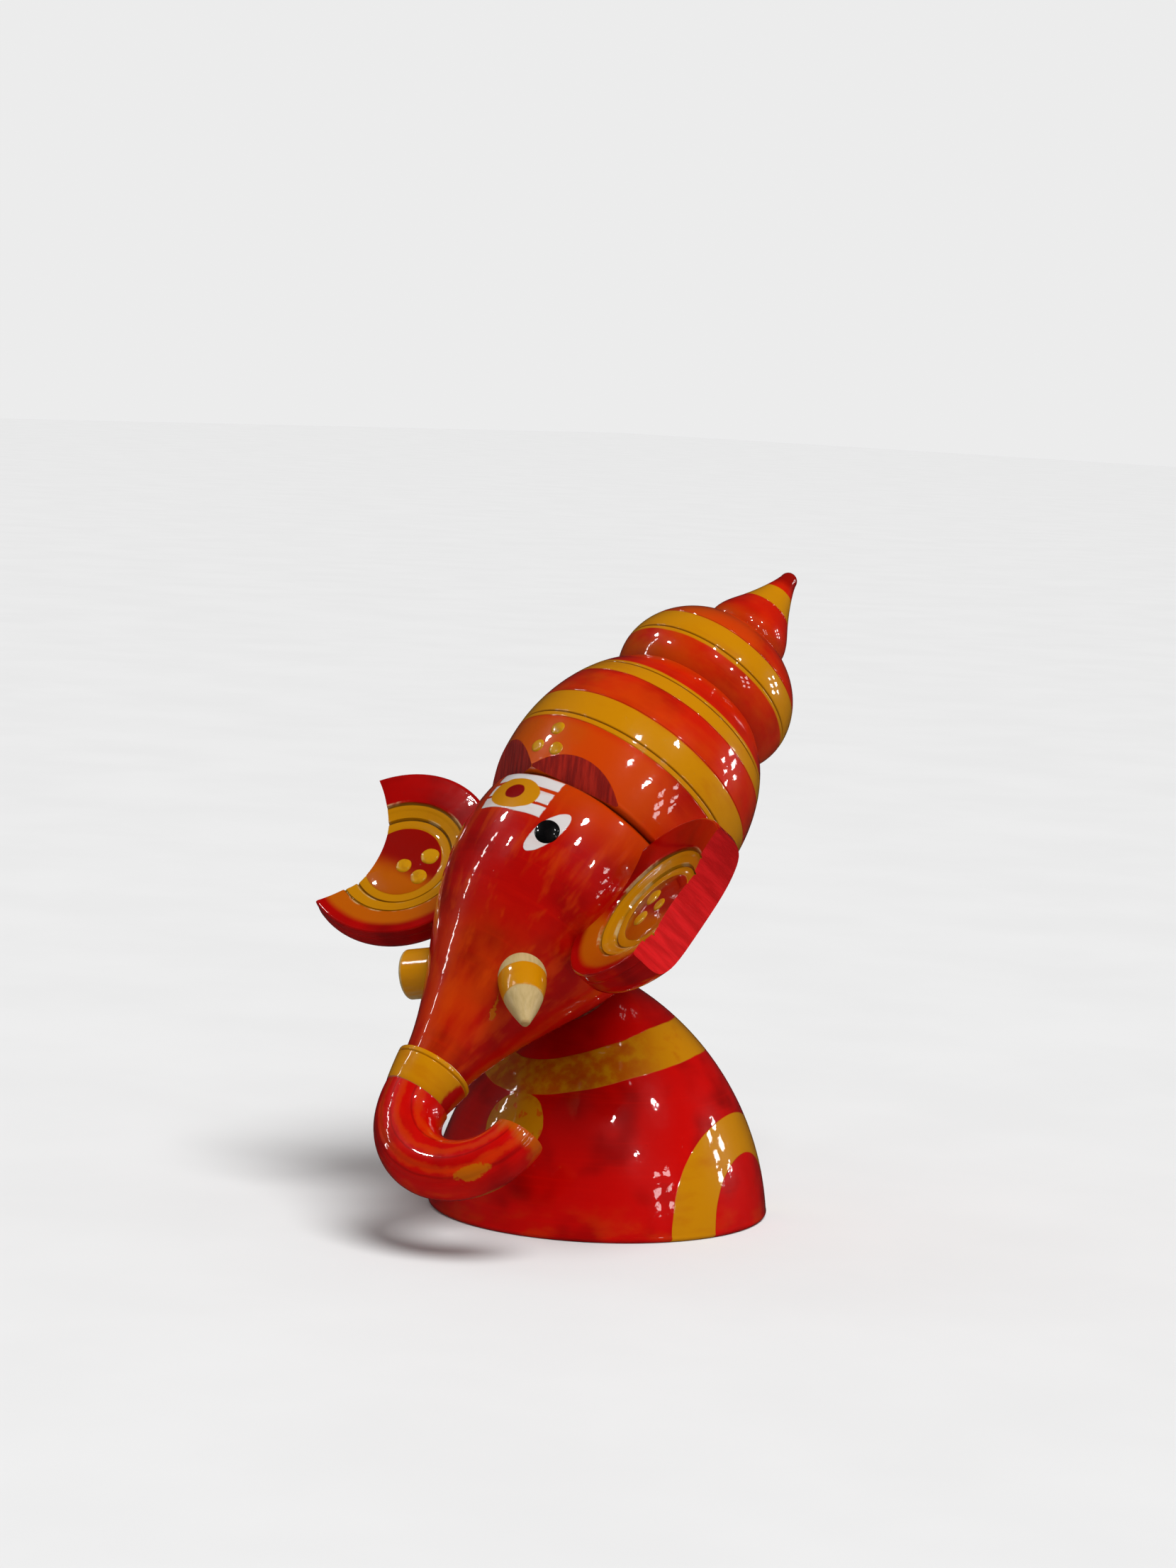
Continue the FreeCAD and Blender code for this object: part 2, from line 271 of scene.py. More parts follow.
# ======================================================================================
# Materials
# ======================================================================================
def colour(red, green, blue):
    """Linear colour of a screen colour given as 0-255."""
    values = []
    for value in (red, green, blue):
        v = value / 255
        values.append(v / 12.92 if v <= 0.04045 else ((v + 0.055) / 1.055) ** 2.4)
    return (*values, 1.0)


DEEP_RED = colour(118, 0, 0)
RED = colour(160, 3, 0)
BRIGHT_RED = colour(184, 13, 0)
ORANGE = colour(186, 58, 0)
AMBER = colour(164, 80, 0)
YELLOW = colour(182, 118, 0)
OCHRE = colour(140, 92, 2)
CREAM = colour(178, 154, 108)
TIMBER = colour(168, 142, 100)
WHITE = colour(198, 192, 190)
CHALK = colour(186, 124, 112)       # white paint worn thin over the red
RAW_PINK = colour(134, 44, 36)
RAW_PALE = colour(178, 116, 92)
STAIN = colour(104, 48, 8)
BLACK = colour(6, 5, 6)


class Paint:
    """One material. Places are millimetres in the piece's own frame, where Z is its axis."""

    def __init__(self, name, place=Matrix.Identity(4)):
        self.material = bpy.data.materials.new(name)
        self.material.use_nodes = True
        self.tree = self.material.node_tree
        self.tree.nodes.clear()
        coords = self.tree.nodes.new("ShaderNodeTexCoord")
        coords.object = self.marker(name, place)
        self.place = self.scaled(coords.outputs["Object"], (1 / MM, 1 / MM, 1 / MM))
        split = self.tree.nodes.new("ShaderNodeSeparateXYZ")
        self.give(split.inputs[0], self.place)
        self.x, self.y, self.height = split.outputs
        self.radius = self.math("SQRT", self.add(self.times(self.x, self.x), self.times(self.y, self.y)))
        self.around = self.math("ARCTAN2", self.x, self.times(self.y, -1))
        self.arc = self.times(self.around, self.radius)
        self.bumps = []

    def marker(self, name, place):
        """An empty that marks the piece's own frame."""
        empty = bpy.data.objects.new("axis_" + name, None)
        bpy.context.scene.collection.objects.link(empty)
        empty.matrix_world = Matrix.Translation(place.translation * MM) @ place.to_3x3().to_4x4()
        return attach(empty, "root")

    def give(self, socket, value):
        if isinstance(value, bpy.types.NodeSocket):
            self.tree.links.new(value, socket)
        else:
            socket.default_value = value

    def math(self, operation, a, b=0.0, c=0.0):
        node = self.tree.nodes.new("ShaderNodeMath")
        node.operation = operation
        for socket, value in zip(node.inputs, (a, b, c)):
            self.give(socket, value)
        return node.outputs[0]

    def add(self, a, b):
        return self.math("ADD", a, b)

    def times(self, a, b):
        return self.math("MULTIPLY", a, b)

    def most(self, a, b):
        return self.math("MAXIMUM", a, b)

    def without(self, a, b):
        """Mask a where mask b is not."""
        return self.times(a, self.math("SUBTRACT", 1.0, b))

    def scaled(self, vector, factors):
        node = self.tree.nodes.new("ShaderNodeVectorMath")
        node.operation = "MULTIPLY"
        self.give(node.inputs[0], vector)
        self.give(node.inputs[1], factors)
        return node.outputs[0]

    def noise(self, size, detail=3.0, stretch=(1, 1, 1), roughness=0.55, seed=0.0):
        """Noise about 0 to 1 whose blobs are about size millimetres wide, longer by stretch."""
        node = self.tree.nodes.new("ShaderNodeTexNoise")
        node.noise_dimensions = "4D"
        self.give(node.inputs["Vector"], self.scaled(self.place, tuple(1 / s for s in stretch)))
        self.give(node.inputs["W"], seed)
        self.give(node.inputs["Scale"], 1.0 / size)
        self.give(node.inputs["Detail"], detail)
        self.give(node.inputs["Roughness"], roughness)
        return node.outputs["Fac"]

    def ramp(self, value, start, end):
        """0 at start, 1 at end, smooth in between."""
        node = self.tree.nodes.new("ShaderNodeMapRange")
        node.interpolation_type = "SMOOTHSTEP"
        self.give(node.inputs["Value"], value)
        self.give(node.inputs["From Min"], start)
        self.give(node.inputs["From Max"], end)
        return node.outputs["Result"]

    def band(self, value, low, high, soft=0.12):
        """1 between low and high, with edges soft millimetres wide."""
        rising = self.ramp(value, low - soft, low + soft)
        falling = self.ramp(value, high + soft, high - soft)
        return self.times(rising, falling)

    def wavy(self, value, size, amount, seed=0.0):
        """The value made slightly unsteady, as a hand-held brush would."""
        wobble = self.math("SUBTRACT", self.noise(size, 2.0, seed=seed), 0.5)
        return self.add(value, self.times(wobble, amount))

    def oval(self, u, v, half_u, half_v, soft=0.1):
        """1 inside an ellipse about u = v = 0."""
        a = self.math("POWER", self.math("DIVIDE", u, half_u), 2.0)
        b = self.math("POWER", self.math("DIVIDE", v, half_v), 2.0)
        away = self.math("SQRT", self.add(a, b))
        edge = soft / min(half_u, half_v)
        return self.ramp(away, 1 + edge, 1 - edge)

    def mix(self, factor, a, b):
        node = self.tree.nodes.new("ShaderNodeMix")
        node.data_type = "RGBA"
        self.give(node.inputs[0], factor)
        self.give(node.inputs[6], a)
        self.give(node.inputs[7], b)
        return node.outputs[2]

    def bump(self, height, depth):
        """Adds relief: height 0 to 1 stands depth millimetres tall."""
        self.bumps.append((height, depth * MM))

    def finish(self, base, roughness, coat=0.0, coat_roughness=0.04):
        normal = None
        for height, depth in self.bumps:
            node = self.tree.nodes.new("ShaderNodeBump")
            self.give(node.inputs["Distance"], depth)
            self.give(node.inputs["Height"], height)
            if normal is not None:
                self.give(node.inputs["Normal"], normal)
            normal = node.outputs[0]
        shader = self.tree.nodes.new("ShaderNodeBsdfPrincipled")
        self.give(shader.inputs["Base Color"], base)
        self.give(shader.inputs["Roughness"], roughness)
        self.give(shader.inputs["Specular IOR Level"], 0.05 if coat else 0.12)
        self.give(shader.inputs["Coat Weight"], coat)
        self.give(shader.inputs["Coat Roughness"], coat_roughness)
        self.give(shader.inputs["Coat IOR"], 1.45)
        if normal is not None:
            self.give(shader.inputs["Normal"], normal)
            self.give(shader.inputs["Coat Normal"], normal)
        output = self.tree.nodes.new("ShaderNodeOutputMaterial")
        self.tree.links.new(shader.outputs[0], output.inputs["Surface"])
        return self.material


def lac(paint, deep, main, light, share=0.5, seed=0.0):
    """Turned lacquer: cloudy patches of a lighter coat, and faint rings left by the stick."""
    clouds = paint.noise(14.0, 4.0, stretch=(1, 1, 0.55), roughness=0.6, seed=seed)
    patches = paint.ramp(clouds, 1.0 - share, 1.35 - share)
    shade = paint.ramp(paint.noise(11.0, 2.0, seed=seed + 3.1), 0.25, 0.6)
    rings = paint.noise(0.9, 2.0, stretch=(30, 30, 1), seed=seed + 5.3)
    specks = paint.ramp(paint.noise(0.9, 3.0, seed=seed + 7.7), 0.70, 0.78)
    base = paint.mix(shade, deep, main)
    base = paint.mix(paint.times(patches, 0.8), base, light)
    base = paint.mix(paint.times(specks, 0.35), base, ORANGE)
    return paint.mix(paint.times(paint.ramp(rings, 0.50, 0.8), 0.30), base, light)


def gloss(paint, base):
    """The polished surface: soft waves in the lac, fine dust and slightly duller patches."""
    paint.bump(paint.noise(5.0, 2.0), 0.10)
    paint.bump(paint.noise(1.1, 2.0), 0.012)
    dust = paint.ramp(paint.noise(0.35, 1.0, seed=8.0), 0.72, 0.80)
    paint.bump(dust, 0.015)
    dull = paint.times(paint.ramp(paint.noise(7.0, 3.0, seed=2.0), 0.45, 0.75), 0.05)
    return paint.finish(base, paint.add(dull, 0.30), coat=1.0, coat_roughness=paint.add(dull, 0.025))


def yellow_coat(paint, seed=0.0):
    """Yellow lac, a little thin and brown in places."""
    thin = paint.ramp(paint.noise(4.0, 3.0, stretch=(3, 3, 1), seed=seed), 0.50, 0.85)
    return paint.mix(paint.times(thin, 0.55), YELLOW, AMBER)


def raw_wood(name, place, pale, dark, grain=(0.35, 0.35, 6.0), seed=0.0):
    """Sawn or shaved wood, stained by the lac dye, with fine grain across it."""
    paint = Paint(name, place)
    fibres = paint.noise(0.6, 4.0, stretch=grain, roughness=0.7, seed=seed)
    streaks = paint.noise(2.6, 3.0, stretch=grain, seed=seed + 4.0)
    base = paint.mix(paint.ramp(streaks, 0.35, 0.68), dark, pale)
    base = paint.mix(paint.times(paint.ramp(fibres, 0.5, 0.72), 0.45), base, pale)
    base = paint.mix(paint.times(paint.ramp(fibres, 0.45, 0.25), 0.6), base, dark)
    paint.bump(fibres, 0.16)
    return paint.finish(base, 0.62)


# ======================================================================================
# Body
# ======================================================================================
GARLAND_FRONT, GARLAND_BACK, GARLAND_WIDE = 30.2, 37.3, 3.3
PENDANT, PENDANT_R = Vector((4.0, -29.2, 21.1)), 7.1
ARCH_AT = 112.0                     # degrees round from the front
ARCH_OUT, ARCH_IN = (25.4, 22.7), (14.6, 15.0)


def body_paint():
    paint = Paint("body_lacquer")
    base = lac(paint, colour(134, 0, 0), colour(184, 2, 0), colour(206, 12, 0), share=0.42, seed=1.0)
    low = paint.times(paint.ramp(paint.height, 11.0, 2.0),
                      paint.ramp(paint.noise(5.0, 5.0, stretch=(2, 2, 1)), 0.48, 0.66))
    base = paint.mix(paint.times(low, 0.3), base, ORANGE)

    front = paint.math("MULTIPLY_ADD", paint.math("COSINE", paint.around), 0.5, 0.5)
    dip = paint.times(paint.math("POWER", front, 3.5), GARLAND_FRONT - GARLAND_BACK)
    away = paint.math("SUBTRACT", paint.height, paint.add(dip, GARLAND_BACK))
    away = paint.wavy(away, 15.0, 1.6, seed=4.0)
    garland = paint.band(away, -GARLAND_WIDE, GARLAND_WIDE)

    place = paint.tree.nodes.new("ShaderNodeVectorMath")
    place.operation = "DISTANCE"
    paint.give(place.inputs[0], paint.place)
    paint.give(place.inputs[1], PENDANT)
    pendant = paint.band(paint.wavy(place.outputs["Value"], 5.0, 0.9), -1.0, PENDANT_R)

    turn = paint.math("SUBTRACT", paint.math("ABSOLUTE", paint.around), math.radians(ARCH_AT))
    across = paint.wavy(paint.times(turn, paint.radius), 14.0, 1.4, seed=6.0)
    outer = paint.oval(across, paint.height, *ARCH_OUT)
    inner = paint.oval(across, paint.height, *ARCH_IN)
    arch = paint.without(outer, inner)

    painted = paint.most(garland, paint.most(pendant, arch))
    smudge = paint.ramp(paint.noise(5.0, 4.0, seed=9.0), 0.52, 0.70)
    stained = paint.times(paint.without(smudge, arch), 0.55)
    base = paint.mix(painted, base, paint.mix(stained, yellow_coat(paint, seed=2.0), AMBER))
    drips = paint.times(pendant, paint.ramp(paint.noise(1.6, 3.0, stretch=(1, 1, 2.5)), 0.58, 0.64))
    base = paint.mix(paint.times(drips, 0.7), base, ORANGE)
    # the garland is thin under the head, where the red shows through; the red there is also painted shade,
    # where the head shades the garland
    near = paint.ramp(front, 0.5, 0.85)
    worn_and_shaded = paint.times(near, paint.ramp(paint.noise(3.0, 5.0, seed=17.0), 0.36, 0.62))
    base = paint.mix(paint.times(paint.times(garland, worn_and_shaded), 0.6), base, RED)
    under = paint.ramp(paint.height, 0.06, 0.03)
    base = paint.mix(under, base, TIMBER)
    paint.bump(painted, 0.05)
    return gloss(paint, base)


def make_body():
    inset = math.sqrt(BODY_ARC_R ** 2 - BODY_ARC_Z ** 2) - BASE_R
    top = BODY_ARC_Z + math.sqrt(BODY_ARC_R ** 2 - inset ** 2)
    outline = [(0, 0), (12, 0), (24, 0)]
    outline += corner(BASE_R - BASE_EDGE, BASE_EDGE, BASE_EDGE, -90, 0)
    steps = round(top / FINE)
    for step in range(1, steps + 1):
        z = BASE_EDGE + (top - BASE_EDGE) * step / steps
        outline.append((max(math.sqrt(BODY_ARC_R ** 2 - (z - BODY_ARC_Z) ** 2) - inset, 0.0), z))
    outline[-1] = (0, top)
    mesh = turned(outline)
    flat_cut(mesh, Matrix.Identity(4), SEAT - SEAT_UP * GLUE_GAP, SEAT_UP)
    wood = raw_wood("body_flat_wood", Matrix.Identity(4), RAW_PALE, RAW_PINK, grain=(4.0, 0.4, 0.4))
    stand_in(add_piece("body_dome", mesh, materials=[body_paint(), wood]), "body")


# ======================================================================================
# Head
# ======================================================================================
BARS = [(57.1, 1.35), (53.5, 1.35), (50.2, 1.3)]
BAR_TURN = 21.0
MARK_AT = (53.1, -0.9)              # height and distance round of the yellow mark
EYES = [(46.9, 28.5, 23.5), (46.5, -60.0, -30.0)]   # height, turn and slant of each eye
EYE_LONG, EYE_WIDE = 5.8, 2.35      # half length and half width
PUPIL_R, PUPIL_RISE = 2.6, 0.8
EYE_REACH = 23.7                    # the head's radius at the eyes
CHIP_AT, CHIP_TURN = 12.9, 62.0     # height and turn of the chip beside the tusk
CHIP_REACH = 11.9                   # the trunk's radius at the chip


def head_paint(place):
    paint = Paint("head_lacquer", place)
    base = lac(paint, DEEP_RED, RED, BRIGHT_RED, share=0.5, seed=12.0)
    runs = paint.ramp(paint.noise(3.4, 3.0, stretch=(1, 1, 5), seed=33.0), 0.5, 0.68)
    base = paint.mix(paint.times(runs, 0.5), base, ORANGE)
    streaks = paint.noise(3.5, 3.0, stretch=(1, 1, 12), roughness=0.5, seed=3.0)
    front = paint.ramp(paint.math("ABSOLUTE", paint.add(paint.around, -0.35)), 1.3, 0.3)
    trunk = paint.times(paint.ramp(paint.height, 34.0, 16.0), front)
    glow = paint.times(trunk, paint.ramp(streaks, 0.18, 0.62))
    base = paint.mix(paint.times(glow, 0.6), base, ORANGE)
    top = paint.ramp(paint.wavy(paint.height, 10.0, 5.0), 45.0, 58.0)
    base = paint.mix(paint.times(top, 0.75), base, ORANGE)
    # painted bounce light: the head's underside, which faces the red body, is painted a brighter red
    below = paint.ramp(paint.math("ABSOLUTE", paint.around), 1.5, 2.2)
    base = paint.mix(paint.times(below, 0.8), base, BRIGHT_RED)

    # three white bars, a yellow mark and a red one over them
    turn = paint.math("ABSOLUTE", paint.wavy(paint.around, 4.0, 0.10))
    ends = paint.ramp(turn, math.radians(BAR_TURN + 0.4), math.radians(BAR_TURN - 0.4))
    height = paint.wavy(paint.height, 6.0, 0.9, seed=5.0)
    bars = 0.0
    for at, half in BARS:
        bars = paint.add(bars, paint.band(height, at - half, at + half))
    bars = paint.times(bars, ends)
    thin = paint.ramp(paint.noise(2.5, 3.0, stretch=(4, 4, 1)), 0.45, 0.8)
    white = paint.mix(paint.times(thin, 0.45), WHITE, CHALK)
    base = paint.mix(bars, base, white)
    u = paint.wavy(paint.add(paint.arc, -MARK_AT[1]), 3.0, 0.7)
    v = paint.add(height, -MARK_AT[0])
    mark = paint.oval(u, v, 6.7, 3.9)
    base = paint.mix(mark, base, yellow_coat(paint))
    spot = paint.oval(u, paint.add(v, -0.3), 2.5, 1.75)
    base = paint.mix(spot, base, DEEP_RED)

    # an almond eye on each side
    eye = 0.0
    for at, turn, slant in EYES:
        u = paint.add(paint.height, -at)
        v = paint.times(paint.add(paint.around, -math.radians(turn)), EYE_REACH)
        cos, sin = math.cos(math.radians(slant)), math.sin(math.radians(slant))
        along = paint.add(paint.times(u, cos), paint.times(v, sin))
        across = paint.add(paint.times(v, cos), paint.times(u, -sin))
        share = paint.math("POWER", paint.math("DIVIDE", along, EYE_LONG), 2.0)
        narrow = paint.most(paint.math("SUBTRACT", 1.0, share), 0.0)
        lens = paint.times(paint.math("POWER", narrow, 0.56), EYE_WIDE)
        inside = paint.math("SUBTRACT", lens, paint.math("ABSOLUTE", paint.wavy(across, 3.0, 0.5)))
        eye = paint.add(eye, paint.times(paint.ramp(inside, -0.08, 0.14), paint.ramp(narrow, 0.0, 0.04)))
    base = paint.mix(eye, base, white)

    # dirt and glue along the joint with the crown, darkened further as painted shade under the crown's rim
    slope = math.tan(math.radians(CROWN_TILT - HEAD_TILT))
    under_crown = paint.add(paint.height, paint.times(paint.y, slope))
    joint_dirt_and_shade = paint.ramp(paint.wavy(under_crown, 3.0, 0.5), HEAD_LEN - 0.9, HEAD_LEN - 0.3)
    base = paint.mix(paint.times(joint_dirt_and_shade, 0.85), base, STAIN)

    # the yellow ring at the trunk's end, its bare lower edge, and a chip in the lac
    ring = paint.ramp(paint.height, 0.30, 0.12)
    base = paint.mix(ring, base, yellow_coat(paint, seed=7.0))
    bare = paint.ramp(paint.wavy(paint.height, 3.0, 0.5), -RING_LEN + 0.75, -RING_LEN + 0.5)
    lip = paint.times(paint.band(paint.height, -0.1, 0.32, 0.05),
                      paint.ramp(paint.wavy(paint.around, 6.0, 0.5), 0.95, 1.15))
    # the yellow ring turns red over part of its underside, on the side toward the body
    ring_red_underside = paint.times(paint.band(paint.height, -RING_LEN, -1.4, 0.3),
                        paint.band(paint.wavy(paint.around, 3.0, 0.4), 1.62, 2.9, 0.08))
    base = paint.mix(ring_red_underside, base, RED)
    base = paint.mix(lip, base, CREAM)
    base = paint.mix(bare, base, colour(150, 76, 56))
    u = paint.wavy(paint.add(paint.height, -CHIP_AT), 0.8, 2.2)
    v = paint.wavy(paint.add(paint.arc, -math.radians(CHIP_TURN) * CHIP_REACH), 0.8, 1.6, seed=2.0)
    chip = paint.oval(u, v, 1.25, 0.75)
    scratch = paint.oval(paint.add(u, -1.6), v, 1.6, 0.22)
    chip = paint.most(chip, scratch)
    base = paint.mix(chip, base, AMBER)

    marks = paint.most(paint.most(bars, mark), paint.most(eye, spot))
    paint.bump(marks, 0.07)
    paint.bump(chip, -0.12)
    return gloss(paint, base)


def make_head():
    outline = [(0, -RING_LEN), (4, -RING_LEN)]
    outline += corner(RING_END_R - 0.35, -RING_LEN + 0.35, 0.35, -90, 0)
    steps = 24
    for step in range(1, steps):
        part = step / steps
        outline.append((RING_END_R + (RING_R - RING_END_R) * part ** 0.85,
                        -RING_LEN + 0.35 + (RING_LEN - 0.35 - RING_LIP) * part))
    outline += corner(RING_R - 0.35, -0.35, 0.35, 0, 90, 8)
    outline += [(7.45, 0.02)]
    outline += smooth_curve(CHEEK)
    outline += [(0, CHEEK[-1][1])]
    mesh = turned(scored(outline, [(-1.15, 0.15, 0.30)]))
    place = lathe_frame(RING, HEAD_AXIS)
    to_local = place.inverted()
    flat_cut(mesh, to_local, JOINT, CROWN_AXIS)
    round_rim(mesh, to_local, JOINT, CROWN_AXIS, HEAD_RIM_EDGE)
    foot = flat_cut(mesh, to_local, SEAT, SEAT_UP * -1)
    wood = raw_wood("head_flat_wood", place, RAW_PALE, RAW_PINK)
    piece = add_piece("head_pear", mesh, place, [head_paint(place), wood])
    stand_in(piece, "head")
    return [place @ co for co in foot]


# ======================================================================================
# Crown
# ======================================================================================
CROWN_BANDS = [(12.3, 19.6), (27.9, 32.4), (44.5, 50.8), (69.0, 74.5)]
CROWN_SCORES = [                    # height, half width and depth of each scored line
    (13.5, 0.17, 0.32), (12.2, 0.10, 0.10), (19.8, 0.12, 0.12), (31.5, 0.16, 0.28),
    (27.7, 0.10, 0.12), (45.4, 0.16, 0.28), (51.0, 0.12, 0.14), (68.8, 0.12, 0.12),
]


def crown_paint(place):
    paint = Paint("crown_lacquer", place)
    base = lac(paint, colour(144, 6, 0), colour(182, 20, 0), colour(196, 44, 0), share=0.55, seed=21.0)
    side = paint.ramp(paint.wavy(paint.around, 10.0, 1.1), 1.55, 0.95)
    low = paint.times(paint.ramp(paint.height, 14.0, 10.0), side)
    upper = paint.times(paint.band(paint.height, 19.6, 28.0, 2.0), 0.5)
    middle = paint.times(paint.band(paint.height, 38.0, 62.0, 2.5), 0.8)
    veil = paint.ramp(paint.noise(8.0, 4.0, stretch=(2, 2, 1), seed=14.0), 0.36, 0.62)
    glow = paint.most(low, paint.times(paint.most(upper, middle), veil))
    base = paint.mix(glow, base, ORANGE)
    pale = paint.times(glow, paint.ramp(paint.wavy(paint.around, 9.0, 0.9), 0.75, -0.35))
    base = paint.mix(paint.times(pale, 0.55), base, AMBER)
    height = paint.wavy(paint.height, 10.0, 0.5, seed=9.0)
    bands = 0.0
    for low_edge, high_edge in CROWN_BANDS:
        bands = paint.add(bands, paint.band(height, low_edge, high_edge, 0.15))
    base = paint.mix(bands, base, yellow_coat(paint, seed=11.0))
    tip = paint.ramp(paint.height, 75.0, 78.0)
    base = paint.mix(paint.times(tip, 0.8), base, DEEP_RED)
    for at, half, depth in CROWN_SCORES:
        line = paint.band(paint.height, at - half * 0.8, at + half * 0.8, 0.1)
        base = paint.mix(paint.times(line, min(0.7, depth * 2.4)), base, colour(96, 50, 2))
    return gloss(paint, base)


def make_crown():
    outline = [(0, 0), (12, 0)]
    outline += corner(RIM_R - RIM_EDGE, RIM_EDGE, RIM_EDGE, -90, 0)
    outline += smooth_curve(LOWER_BULB)[1:]
    outline += smooth_curve(UPPER_BULB)[1:]
    outline += smooth_curve(TIP)[1:]
    outline += corner(0, CROWN_LEN - 1.9, 1.9, 0, 90, 10)[1:-1]
    outline += [(0, CROWN_LEN)]
    mesh = turned(scored(outline, CROWN_SCORES), CROWN_TURNS)
    place = lathe_frame(JOINT, CROWN_AXIS)
    to_local = place.inverted()
    forward = SIDE.cross(CROWN_AXIS)
    for side, (turn, distance, lean) in FACETS.items():
        turn = math.radians(turn) * side
        lean = math.radians(lean)
        out = forward * math.cos(turn) + SIDE * math.sin(turn)
        normal = out * math.cos(lean) - CROWN_AXIS * math.sin(lean)
        flat_cut(mesh, to_local, JOINT + out * distance, normal)
    wood = raw_wood("crown_flat_wood", Matrix.Identity(4), colour(160, 28, 12), colour(116, 10, 4),
                    grain=(0.3, 0.4, 5.0), seed=3.0)
    stand_in(add_piece("crown_bulbs", mesh, place, [crown_paint(place), wood]), "crown")


# ======================================================================================
# Ears
# ======================================================================================
def ear_frame(side):
    rise, turn = math.radians(EAR_RISE), math.radians(EAR_IN)
    flat = math.cos(rise)
    normal = Vector((-side * math.sin(turn) * flat, -math.cos(turn) * flat, math.sin(rise)))
    x = (SIDE - normal * normal.x).normalized()
    y = normal.cross(x)
    centre = Vector((side * EAR_CENTRE.x, EAR_CENTRE.y, EAR_CENTRE.z))
    return Matrix.Translation(centre) @ Matrix((x, y, normal)).transposed().to_4x4()


def ear_paint(side, place):
    paint = Paint("ear_lacquer_left" if side > 0 else "ear_lacquer_right", place)
    base = lac(paint, colour(110, 0, 0), colour(150, 1, 0), colour(178, 5, 0), share=0.36, seed=31.0 + side)
    radius = paint.wavy(paint.radius, 6.0, 0.5)
    front = paint.ramp(paint.height, -4.6, -3.9)
    # painted light: lighter orange on the lower half of the dish, which faces up towards the light
    lower = paint.ramp(paint.wavy(paint.y, 9.0, 5.0), 0.5, -4.5)
    crescent = paint.times(paint.band(radius, EAR_STEP_R - 0.3, 17.6, 0.9), lower)
    disc = paint.times(paint.band(radius, -1.0, 8.4, 0.3), lower)
    painted_light_orange = paint.times(paint.most(crescent, disc), front)
    base = paint.mix(paint.times(painted_light_orange, 0.9), base, AMBER)
    # painted shade: the upper half of the inner disc, under the rim, is painted darker red
    dark = paint.times(paint.without(paint.band(radius, -1.0, 8.4, 0.3), lower), front)
    base = paint.mix(paint.times(dark, 0.7), base, colour(112, 8, 2))
    rings = paint.times(paint.band(radius, 8.35, EAR_STEP_R), front)
    # painted shade: the yellow rings are toned down towards ochre
    shaded_yellow = paint.mix(0.35, yellow_coat(paint, seed=17.0), OCHRE)
    base = paint.mix(rings, base, shaded_yellow)
    for at in (EAR_FLAT_R, EAR_STEP_R):
        line = paint.times(paint.band(radius, at - 0.32, at + 0.05, 0.12), front)
        base = paint.mix(paint.times(line, 0.75), base, colour(92, 58, 6))
        worn = paint.ramp(paint.noise(5.0, 3.0, seed=at), 0.48, 0.62)
        edge = paint.times(paint.band(radius, at + 0.0, at + 0.45, 0.12), front)
        base = paint.mix(paint.times(paint.times(edge, worn), 0.7), base, CREAM)
    return gloss(paint, base)


BITE_REACH = 30                     # half length of the rod that makes the cut
EAR_DOTS = {-1: [(-0.8, -0.9, 1.75), (-4.7, 3.3, 2.05), (-5.4, -2.0, 1.85)],
            1: [(0.7, 0.5, 1.6), (-3.8, 2.9, 1.95), (-3.3, -2.5, 1.9)]}


